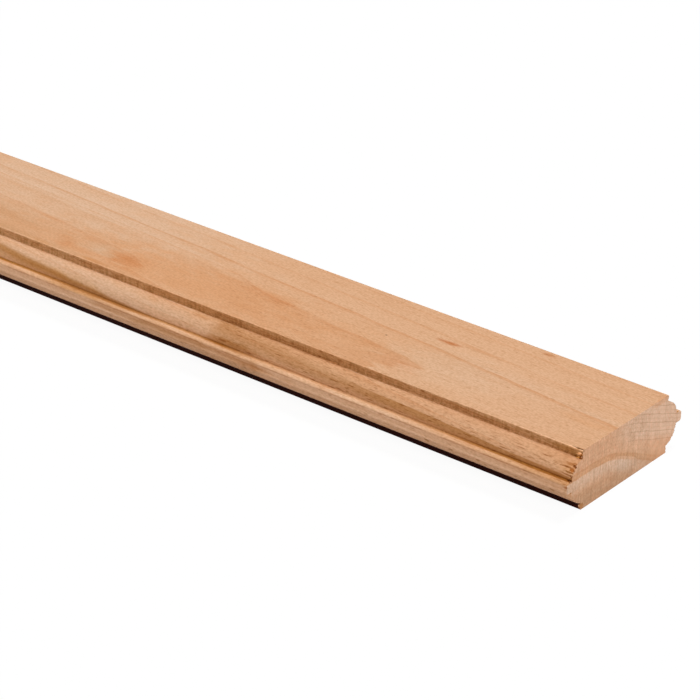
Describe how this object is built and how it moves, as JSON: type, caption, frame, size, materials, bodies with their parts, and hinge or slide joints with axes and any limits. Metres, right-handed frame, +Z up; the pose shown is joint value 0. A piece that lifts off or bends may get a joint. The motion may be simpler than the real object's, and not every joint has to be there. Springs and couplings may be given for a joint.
{
  "type": "moulded flat wooden baluster",
  "caption": "Straight length of flat hardwood baluster stock, its long edges moulded alike on both sides with a fillet, an ovolo and a rounded bead, sawn square at the ends.",
  "frame": {"origin": "middle of the flat back, halfway along the length and across the width", "axes": "+X along the length, +Y across the width, +Z up out of the front flat, through the thickness"},
  "size_m": [0.9, 0.06, 0.02],
  "materials": {
    "beech": "bare, planed"
  },
  "bodies": {
    "root": {"moulded_baluster": "beech"}
  },
  "joints": []
}
